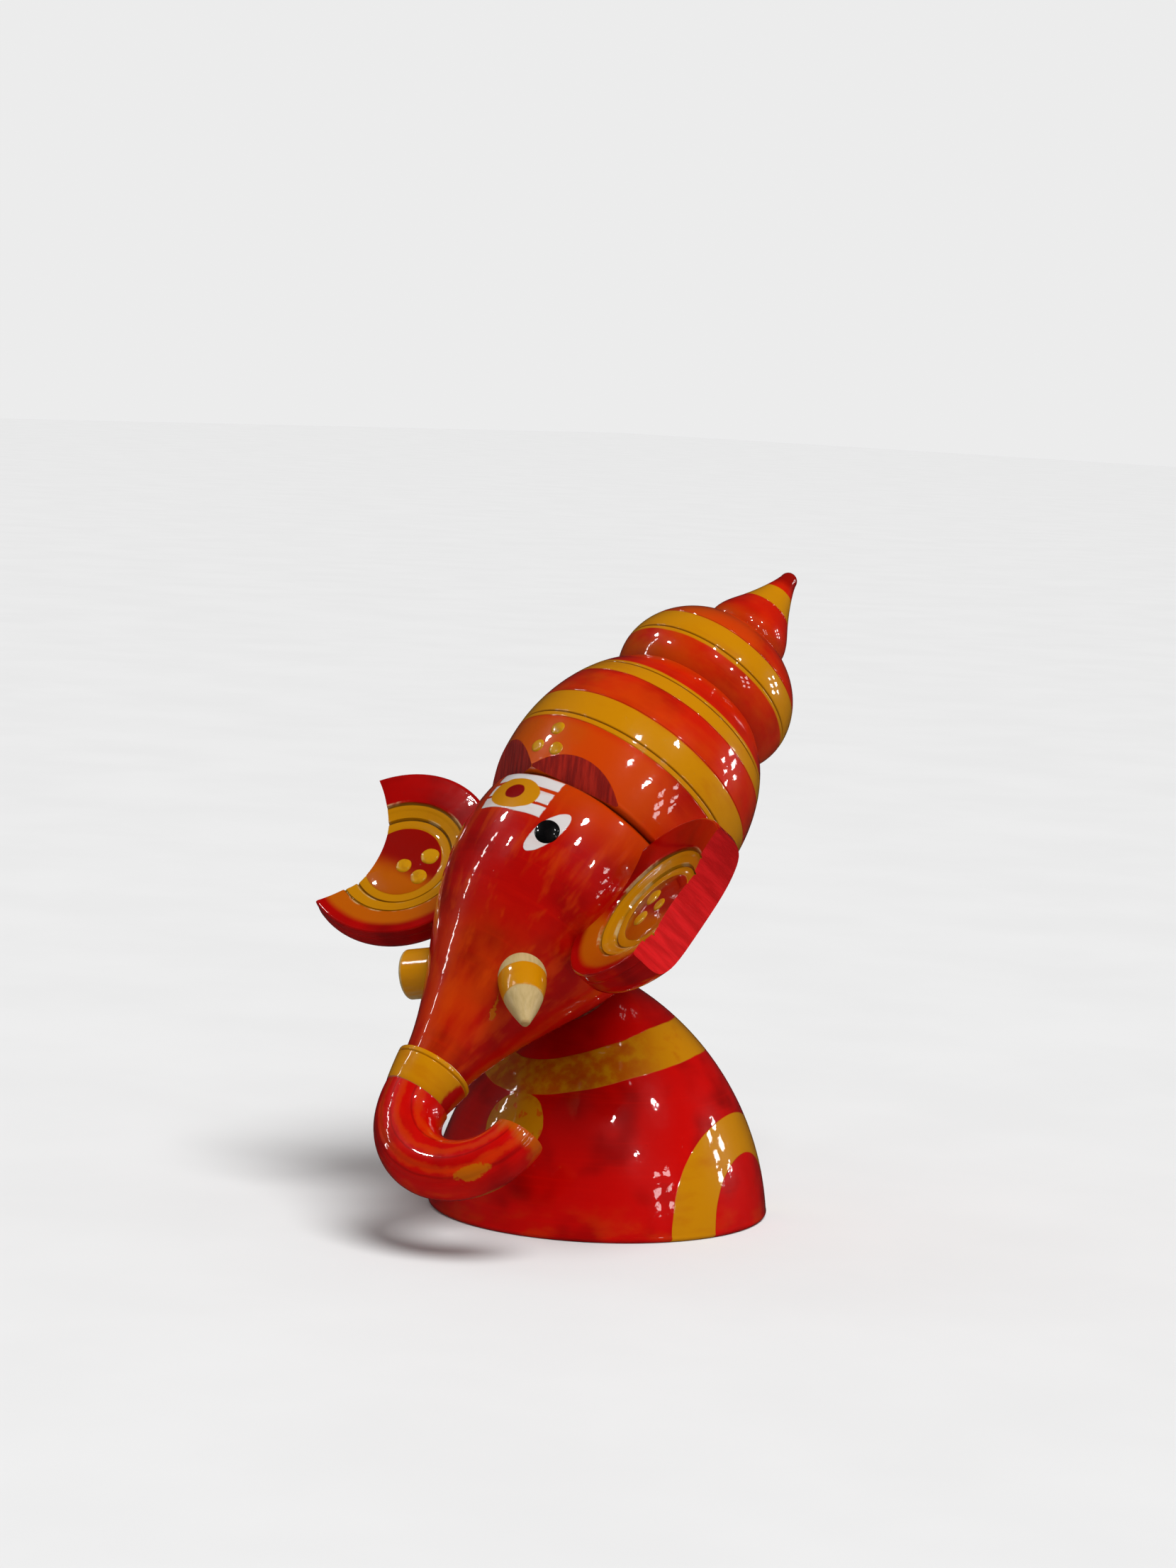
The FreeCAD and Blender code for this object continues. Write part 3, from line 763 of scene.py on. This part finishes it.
def make_ear(side):
    name = "left" if side > 0 else "right"
    outline = [(0, -EAR_FLAT_DEEP), (4, -EAR_FLAT_DEEP), (8.2, -EAR_FLAT_DEEP)]
    outline += [(8.45, -EAR_FLAT_DEEP - 0.12), (8.7, -EAR_FLAT_DEEP), (10.2, -EAR_FLAT_DEEP + 0.05)]
    outline += [(10.45, -EAR_FLAT_DEEP - 0.25), (10.62, -EAR_FLAT_DEEP - 0.2), (10.8, -EAR_FLAT_DEEP + 0.45)]
    outline += [(12.2, -2.45), (13.3, -2.0), (13.5, -2.2), (13.68, -2.15), (13.85, -1.55)]
    steps = 14
    for step in range(1, steps + 1):
        part = step / steps
        outline.append((13.85 + (EAR_R - 0.5 - 13.85) * part, -1.55 + 1.55 * part ** 0.9))
    outline += corner(EAR_R - 0.5, -0.5, 0.5, 90, 0)[1:]
    outline += [(EAR_R, -EAR_SIDE * 0.4), (EAR_R, -EAR_SIDE * 0.7)]
    outline += smooth_curve([
        (EAR_R, -EAR_SIDE),
        (EAR_R * 0.95, -EAR_DEEP * 0.56),
        (EAR_R * 0.80, -EAR_DEEP * 0.74),
        (EAR_R * 0.40, -EAR_DEEP * 0.935),
        (0, -EAR_DEEP),
    ])
    outline = [(max(r, 0.0), h) for r, h in outline]
    mesh = turned(scored(outline, [(-2.2, 0.2, 0.12)]))
    place = ear_frame(side)
    wood = raw_wood("ear_cut_wood_" + name, place, colour(196, 14, 18), colour(166, 0, 2),
                    grain=(1.4, 0.6, 4.0), seed=side)
    piece = add_object("ear_" + name + "_dish", mesh, Matrix.Identity(4), [ear_paint(side, place), wood])

    turn = math.radians(BITE_TURN[side])
    aim = Vector((side * math.cos(turn), math.sin(turn), 0))
    rod = turned([(0, -BITE_REACH), (BITE_R, -BITE_REACH), (BITE_R, BITE_REACH), (0, BITE_REACH)], BITE_TURNS)
    to_local = place.inverted()
    cut_with(piece, rod, Matrix.Translation(aim * (BITE_NEAR + BITE_R)), [wood])
    cut_with(piece, head_cutter(), to_local @ lathe_frame(RING, HEAD_AXIS), [wood])
    cut_with(piece, crown_cutter(), to_local @ lathe_frame(JOINT, CROWN_AXIS), [wood])
    piece.data.transform(Matrix.Scale(MM, 4) @ place @ Matrix.Scale(1 / MM, 4))
    smooth(piece)
    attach(piece, "root")
    stand_in(piece, "ear_" + name)
    return place


def head_cutter():
    """The head's shape, coarser, for coping the ears to it."""
    outline = [(0, 0.4)] + smooth_curve(CHEEK) + [(0, CHEEK[-1][1])]
    coarse = outline[::2]
    if coarse[-1] != outline[-1]:
        coarse.append(outline[-1])
    return turned(coarse, CUTTER_TURNS)


def crown_cutter():
    """The crown's lower bulb, coarser, for coping the ears to it."""
    outline = [(0, 0), (RIM_R - 0.3, 0)] + smooth_curve(LOWER_BULB)[::3] + [(0, LOWER_BULB[-1][1])]
    return turned(outline, CUTTER_TURNS)


# ======================================================================================
# Tusks
# ======================================================================================
def tusk_paint(place):
    paint = Paint("tusk_wood", place)
    grain = paint.noise(0.7, 4.0, stretch=(1, 1, 9), roughness=0.6)
    wood = paint.mix(paint.ramp(grain, 0.2, 0.7), colour(160, 138, 90), CREAM)
    height = paint.wavy(paint.height, 3.0, 0.8)
    coat = paint.band(height, 5.2, 10.9, 0.2)
    base = paint.mix(coat, wood, yellow_coat(paint, seed=5.0))
    root = paint.ramp(paint.wavy(paint.height, 2.0, 0.6), 0.9, 0.3)
    base = paint.mix(paint.times(root, 0.8), base, colour(130, 56, 12))
    tip = paint.ramp(paint.height, TUSK_LEN - 0.9, TUSK_LEN - 0.3)
    base = paint.mix(paint.times(tip, 0.6), base, colour(126, 90, 48))
    paint.bump(grain, 0.05)
    shine = paint.times(coat, 0.9)
    return paint.finish(base, 0.45, coat=paint.add(shine, 0.1), coat_roughness=0.08)


def make_tusk():
    outline = [(0, -1.0), (TUSK_R * 0.80, -1.0)]
    outline += smooth_curve([(TUSK_R * 0.84, 0), (TUSK_R, TUSK_LEN * 0.30), (TUSK_R * 0.66, TUSK_LEN * 0.68),
                             (TUSK_R * 0.22, TUSK_LEN * 0.95)])
    outline += [(TUSK_R * 0.17, TUSK_LEN * 0.972), (TUSK_R * 0.13, TUSK_LEN * 0.987), (0, TUSK_LEN)]
    mesh = turned(scored(outline, [(5.1, 0.15, 0.10), (11.0, 0.15, 0.08)]), TUSK_TURNS)
    place = lathe_frame(RING + head_vector(TUSK_ROOT), head_vector(TUSK_AIM).normalized())
    stand_in(add_piece("tusk_whole_bud", mesh, place, [tusk_paint(place)]), "tusk_whole")


def stub_paint(place):
    paint = Paint("tusk_broken_wood", place)
    grain = paint.noise(0.7, 4.0, stretch=(1, 1, 9), roughness=0.6, seed=2.0)
    wood = paint.mix(paint.ramp(grain, 0.35, 0.7), colour(146, 132, 88), CREAM)
    fade = paint.noise(1.4, 4.0, stretch=(1, 1, 6), seed=6.0)
    lift = paint.add(paint.times(paint.y, -0.16), paint.times(paint.math("SUBTRACT", fade, 0.5), 1.6))
    painted = paint.ramp(lift, -0.45, 0.25)
    coat = paint.times(painted, paint.ramp(paint.height, STUB_LEN - 0.3, STUB_LEN - 0.8))
    base = paint.mix(coat, wood, yellow_coat(paint, seed=8.0))
    # painted shade: the pale bare root beside the head is painted a darker greyish brown
    root = paint.ramp(paint.height, 1.5, 0.9)
    base = paint.mix(paint.times(root, 0.6), base, colour(130, 100, 62))
    paint.bump(grain, 0.05)
    return paint.finish(base, 0.45, coat=paint.times(coat, 0.8), coat_roughness=0.08)


def make_stub():
    outline = [(0, -1.5), (STUB_R - 0.4, -1.5), (STUB_R - 0.2, 0)]
    outline += [(STUB_R, 0.3 + FINE * step) for step in range(20)]
    outline += corner(STUB_R - 0.5, STUB_LEN - 0.5, 0.5, 0, 90)
    outline += [(2.0, STUB_LEN - 0.1), (0, STUB_LEN - 0.1)]
    mesh = turned(scored(outline, [(1.3, 0.12, 0.12)]), TUSK_TURNS)
    up = head_vector((0, 0, 1))
    axis = head_vector(STUB_AIM).normalized()
    place = lathe_frame(RING + head_vector(STUB_ROOT), axis, up.cross(axis) * -1)
    stand_in(add_piece("tusk_broken_stub", mesh, place, [stub_paint(place)]), "tusk_broken")


# ======================================================================================
# Trunk curl
# ======================================================================================
def curl_frame():
    """Frame of the curl's ring: local X runs from its centre to the start, Y the way it goes."""
    start = RING - HEAD_AXIS * RING_LEN + SIDE * CURL_SHIFT[0] + BROW * CURL_SHIFT[1]
    turn, lean = math.radians(CURL_TURN), math.radians(CURL_LEAN)
    bend = SIDE * math.sin(turn) - BROW * math.cos(turn)
    down = bend * math.sin(lean) - HEAD_AXIS * math.cos(lean)
    inward = bend * math.cos(lean) + HEAD_AXIS * math.sin(lean)
    x, y = inward * -1, down
    return Matrix.Translation(start + inward * CURL_R) @ Matrix((x, y, x.cross(y))).transposed().to_4x4()


def curl_paint(place):
    paint = Paint("trunk_lacquer", place)
    base = lac(paint, colour(134, 0, 0), colour(176, 3, 0), colour(200, 20, 0), share=0.5, seed=41.0)
    out = paint.math("SUBTRACT", paint.radius, CURL_R)
    bands = paint.noise(1.5, 4.0, stretch=(2.2, 2.2, 1), roughness=0.6, seed=4.0)
    streaks = paint.math("SINE", paint.add(paint.times(out, 1.7), paint.times(bands, 5.0)))
    base = paint.mix(paint.times(paint.ramp(streaks, -0.2, 1.0), 0.4), base, ORANGE)
    for at in (-3.3, 0.9, 4.4):
        line = paint.band(paint.wavy(out, 6.0, 0.8), at - 0.16, at + 0.16, 0.15)
        base = paint.mix(paint.times(line, 0.5), base, DEEP_RED)
    turn = paint.math("ARCTAN2", paint.y, paint.x)
    end = paint.ramp(paint.wavy(turn, 3.0, 0.35), 2.75, 2.95)
    base = paint.mix(paint.times(end, 0.7), base, AMBER)
    return paint, base, turn, out


def make_curl():
    place = curl_frame()
    paint, base, turn, out = curl_paint(place)
    u = paint.wavy(paint.times(paint.add(turn, -2.22), CURL_R + 4), 1.6, 4.0)
    v = paint.wavy(paint.add(out, -4.1), 1.3, 1.6, seed=3.0)
    patch = paint.oval(u, v, 3.6, 0.95, 0.12)
    base = paint.mix(patch, base, AMBER)
    material = gloss(paint, base)
    rows, ring_steps, spare = 150, 96, math.radians(30)
    mesh = bmesh.new()
    rings = []
    for row in range(rows + 1):
        part = row / rows
        angle = (math.radians(CURL_ANGLE) + spare) * part - spare
        radius = CURL_START_R + (CURL_END_R - CURL_START_R) * max(angle, 0) / math.radians(CURL_ANGLE)
        close = min(1.0, (math.radians(CURL_ANGLE) - angle) * CURL_R / 0.5)
        radius -= 0.5 * (1 - math.sqrt(max(0.0, close * (2 - close))))
        ring = []
        for step in range(ring_steps):
            a = math.tau * step / ring_steps
            ridge = sum(0.16 * math.exp(-((math.degrees(a) - at + 180) % 360 - 180) ** 2 / 18)
                        for at in (-58, -32, 32, 58))
            r = radius - ridge
            away = CURL_R + r * math.cos(a)
            ring.append(mesh.verts.new((away * math.cos(angle), away * math.sin(angle), r * math.sin(a))))
        rings.append(ring)
    for low, high in zip(rings, rings[1:]):
        for step in range(ring_steps):
            after = (step + 1) % ring_steps
            mesh.faces.new((low[step], low[after], high[after], high[step]))
    mesh.faces.new(rings[0])
    mesh.faces.new(rings[-1])
    bmesh.ops.recalc_face_normals(mesh, faces=mesh.faces)
    flat_cut(mesh, place.inverted(), RING - HEAD_AXIS * RING_LEN, HEAD_AXIS)
    piece = add_piece("trunk_curl_ring", mesh, place, [material, material])
    stand_in(piece, "trunk_curl")


# ======================================================================================
# Raised paint, glue and pegs
# ======================================================================================
def dot_mesh(mesh, place, radius, height, wobble=0.05, flat=0.45):
    """Adds one drop of paint, flatter on top for a smaller flat. Local Z points out of the surface."""
    shift = random.random() * 10
    rings, steps = 8, 40
    rows = []
    for ring in range(rings + 1):
        t = ring / rings
        r = radius * max(math.cos(t * math.pi / 2), 0.0) ** flat
        h = height * math.sin(t * math.pi / 2)
        row = []
        for step in range(steps):
            a = math.tau * step / steps
            edge = 1 + wobble * noise.noise((math.cos(a) + shift, math.sin(a), 0.3)) * 2
            spot = Vector((r * edge * math.cos(a), r * edge * math.sin(a), h - SUNK))
            row.append(mesh.verts.new(place @ spot))
        rows.append(row if ring < rings else [row[0]])
        if ring == rings:
            for extra in row[1:]:
                mesh.verts.remove(extra)
    for low, high in zip(rows, rows[1:]):
        for step in range(steps):
            after = (step + 1) % steps
            ring = [low[step], low[after], high[after % len(high)], high[step % len(high)]]
            mesh.faces.new(list(dict.fromkeys(ring)))
    mesh.faces.new(list(reversed(rows[0])))


def on_lathe(place, outline, height, turn):
    """Frame on a turned surface: local Z is the surface's normal."""
    heights = [h for r, h in outline]
    radii = [r for r, h in outline]
    r = np.interp(height, heights, radii)
    slope = (np.interp(height + 0.3, heights, radii) - np.interp(height - 0.3, heights, radii)) / 0.6
    turn = math.radians(turn)
    radial = Vector((math.sin(turn), -math.cos(turn), 0))
    normal = (radial - Vector((0, 0, slope))).normalized()
    return place @ lathe_frame(radial * r + Vector((0, 0, height)), normal, Vector((0, 0, 1)))


def dot_paint(name, base_colour, second):
    paint = Paint(name)
    patches = paint.ramp(paint.noise(2.0, 3.0), 0.45, 0.7)
    base = paint.mix(patches, base_colour, second)
    paint.bump(paint.noise(0.8, 2.0), 0.03)
    return paint.finish(base, 0.35, coat=0.8, coat_roughness=0.05)


SUNK = 0.2              # how far a painted drop reaches into the surface
CROWN_DOTS = [(4.6, -2.0, 1.6), (4.7, 9.2, 1.6), (9.2, 3.9, 1.65)]   # height, turn and radius


def make_dots(ears):
    drops = dot_paint("paint_drops", colour(178, 124, 4), colour(162, 108, 4))
    black = dot_paint("pupil_black", BLACK, colour(16, 12, 12))
    for side, place in ears.items():
        mesh = bmesh.new()
        for out, up, radius in EAR_DOTS[side]:
            local = Matrix.Translation((side * out, up, -EAR_FLAT_DEEP))
            dot_mesh(mesh, place @ local, radius, 0.55)
        piece = add_piece("ear_dots_left" if side > 0 else "ear_dots_right", mesh, materials=[drops])

    place = lathe_frame(JOINT, CROWN_AXIS)
    bulb = smooth_curve(LOWER_BULB)
    mesh = bmesh.new()
    for height, turn, radius in CROWN_DOTS:
        dot_mesh(mesh, on_lathe(place, bulb, height, turn), radius, 0.5)
    add_piece("crown_dots", mesh, materials=[drops])

    place = lathe_frame(RING, HEAD_AXIS)
    pear = smooth_curve(CHEEK)
    mesh = bmesh.new()
    for height, turn, _ in EYES:
        dot_mesh(mesh, on_lathe(place, pear, height, turn), PUPIL_R, PUPIL_RISE, wobble=0.02, flat=1.0)
    add_piece("pupils", mesh, materials=[black])


def bead(name, points, thickness, material, rough=0.35):
    """A lumpy closed string of dried glue through the points, in order."""
    mesh = bmesh.new()
    count, steps = len(points), 12
    middle = sum(points, Vector()) / count
    rings = []
    for i, point in enumerate(points):
        along = (points[(i + 1) % count] - points[i - 1]).normalized()
        out = (point - middle)
        out = (out - along * out.dot(along)).normalized()
        third = along.cross(out)
        lump = 1 + rough * noise.noise(point * 0.35) + rough * 0.5 * noise.noise(point * 1.3)
        ring = []
        for step in range(steps):
            a = math.tau * step / steps
            ring.append(mesh.verts.new(point + (out * math.cos(a) + third * math.sin(a)) * thickness * lump))
        rings.append(ring)
    for i in range(count):
        low, high = rings[i], rings[(i + 1) % count]
        for step in range(steps):
            after = (step + 1) % steps
            mesh.faces.new((low[step], low[after], high[after], high[step]))
    bmesh.ops.recalc_face_normals(mesh, faces=mesh.faces)
    return add_piece(name, mesh, materials=[material])


def around_plane(points, normal):
    """The points in order round their middle."""
    middle = sum(points, Vector()) / len(points)
    x = (points[0] - middle).normalized()
    y = normal.cross(x)
    return sorted(points, key=lambda p: math.atan2((p - middle).dot(y), (p - middle).dot(x)))


def make_glue(foot):
    paint = Paint("dried_glue")
    cloudy = paint.ramp(paint.noise(2.0, 3.0), 0.35, 0.7)
    base = paint.mix(cloudy, colour(132, 70, 46), colour(180, 140, 116))
    paint.bump(paint.noise(0.7, 3.0), 0.08)
    material = paint.finish(base, 0.35, coat=0.5, coat_roughness=0.15)
    ring = around_plane(foot, SEAT_UP)
    ring = [p + (SEAT - p).normalized() * 0.5 - SEAT_UP * GLUE_GAP * 0.45 for p in ring[::3]]
    bead("neck_glue", ring, 0.62, material)


def make_pegs():
    paint = Paint("peg_beech")
    grain = paint.noise(0.8, 4.0, stretch=(1, 1, 8))
    base = paint.mix(paint.ramp(grain, 0.35, 0.7), TIMBER, colour(132, 100, 62))
    paint.bump(grain, 0.06)
    material = paint.finish(base, 0.6)
    for node in ("neck_peg", "crown_peg", "trunk_peg", "ear_peg_left", "ear_peg_right"):
        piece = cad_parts[node]
        piece.data.materials.clear()
        piece.data.materials.append(material)


# ======================================================================================
# Studio
# ======================================================================================
CAMERA_TURN, CAMERA_RISE, CAMERA_ROLL = 45.26, 6.25, 2.42
CAMERA_AWAY, CAMERA_RIGHT, CAMERA_UP = 814.0, -1.86, 87.96
LENS = 89.5
# Reflections in the lac, by their direction: degrees round from the camera, and up.
LEFT_WINDOW_TURN = -98
RIGHT_WINDOWS = [(43, 0.12), (52, 0.12), (98, 0.26), (108, 0.26)]    # turn and watts
LAMPS = [(13, 45), (19, 59), (60, 44), (-75, 44), (-109, 43), (30, 28)]    # turn and rise
LIGHT_AIM = Vector((0, -0.01, 0.06))    # metres
FLOOR_WIDE = 12                         # metres


def towards(turn, rise):
    """Direction turn degrees round from the idol's front, to its left, and rise degrees up."""
    turn, rise = math.radians(turn), math.radians(rise)
    return Vector((math.sin(turn) * math.cos(rise), -math.cos(turn) * math.cos(rise), math.sin(rise)))


def make_camera():
    back = towards(CAMERA_TURN, CAMERA_RISE)
    right = Vector((math.cos(math.radians(CAMERA_TURN)), math.sin(math.radians(CAMERA_TURN)), 0))
    up = back.cross(right)
    roll = math.radians(CAMERA_ROLL)
    right, up = right * math.cos(roll) + up * math.sin(roll), up * math.cos(roll) - right * math.sin(roll)
    camera = bpy.data.objects.new("camera", bpy.data.cameras.new("camera"))
    camera.data.lens = LENS
    camera.data.clip_start = 0.01
    place = back * CAMERA_AWAY + right * CAMERA_RIGHT + up * CAMERA_UP
    camera.matrix_world = Matrix.Translation(place * MM) @ Matrix((right, up, back)).transposed().to_4x4()
    bpy.context.scene.collection.objects.link(camera)
    bpy.context.scene.camera = camera


def softbox(name, turn, rise, away, wide, tall, watts, shape="RECTANGLE"):
    """A reflection in the lac, turn degrees round from the camera's direction."""
    direction = towards(CAMERA_TURN + turn, rise)
    light = bpy.data.lights.new(name, "AREA")
    light.shape = shape
    light.size = wide
    light.size_y = tall
    light.energy = watts
    lamp = bpy.data.objects.new(name, light)
    lamp.visible_diffuse = False    # only a highlight: the sun and the room light the shapes
    facing = direction.to_track_quat("Z", "Y").to_matrix().to_4x4()
    lamp.matrix_world = Matrix.Translation(LIGHT_AIM + direction * away) @ facing
    bpy.context.scene.collection.objects.link(lamp)


def make_lights():
    sun = bpy.data.objects.new("key", bpy.data.lights.new("key", "SUN"))
    sun.data.energy = 3.1
    sun.data.angle = math.radians(35)
    sun.visible_glossy = False
    sun.matrix_world = towards(CAMERA_TURN + 30, 62).to_track_quat("Z", "Y").to_matrix().to_4x4()
    bpy.context.scene.collection.objects.link(sun)
    for row in range(6):
        softbox("window_left", LEFT_WINDOW_TURN, 8 + 6 * row, 1.0, 0.035, 0.07, 0.16)
    for turn, watts in RIGHT_WINDOWS:
        for row in range(3):
            softbox("window_right", turn, 6 + 6 * row, 1.0, 0.07, 0.05, watts)
    for turn, rise in LAMPS:
        softbox("lamp", turn, rise, 1.1, 0.06, 0.06, 1.2, "DISK")

    world = bpy.data.worlds.new("pale_room")
    world.use_nodes = True
    tree = world.node_tree
    background = tree.nodes["Background"]
    path = tree.nodes.new("ShaderNodeLightPath")
    seen = ((path.outputs["Is Camera Ray"], 0.84), (path.outputs["Is Glossy Ray"], 0.015),
            (path.outputs["Is Diffuse Ray"], 0.38))
    total = None
    for ray, strength in seen:
        share = tree.nodes.new("ShaderNodeMath")
        share.operation = "MULTIPLY_ADD"
        tree.links.new(ray, share.inputs[0])
        share.inputs[1].default_value = strength
        share.inputs[2].default_value = 0
        if total is not None:
            tree.links.new(total, share.inputs[2])
        total = share.outputs[0]
    tree.links.new(total, background.inputs["Strength"])
    background.inputs["Color"].default_value = (1, 1, 1, 1)
    bpy.context.scene.world = world
    bpy.context.scene.view_settings.view_transform = "Standard"


def make_floor():
    bpy.ops.mesh.primitive_plane_add(size=FLOOR_WIDE)
    floor = bpy.context.object
    floor.name = "floor"
    paint = Paint("pale_floor")
    cloudy = paint.ramp(paint.noise(60.0, 3.0), 0.3, 0.7)
    base = paint.mix(cloudy, (0.70, 0.70, 0.70, 1), (0.72, 0.72, 0.72, 1))
    floor.data.materials.append(paint.finish(base, 0.7))
    floor.visible_glossy = False    # keeps the pale floor from veiling the red lac


# ======================================================================================
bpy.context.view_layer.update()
make_body()
foot = make_head()
make_crown()
ears = {side: make_ear(side) for side in (-1, 1)}
make_tusk()
make_stub()
make_curl()
make_dots(ears)
make_glue(foot)
make_pegs()
make_floor()
make_lights()
make_camera()
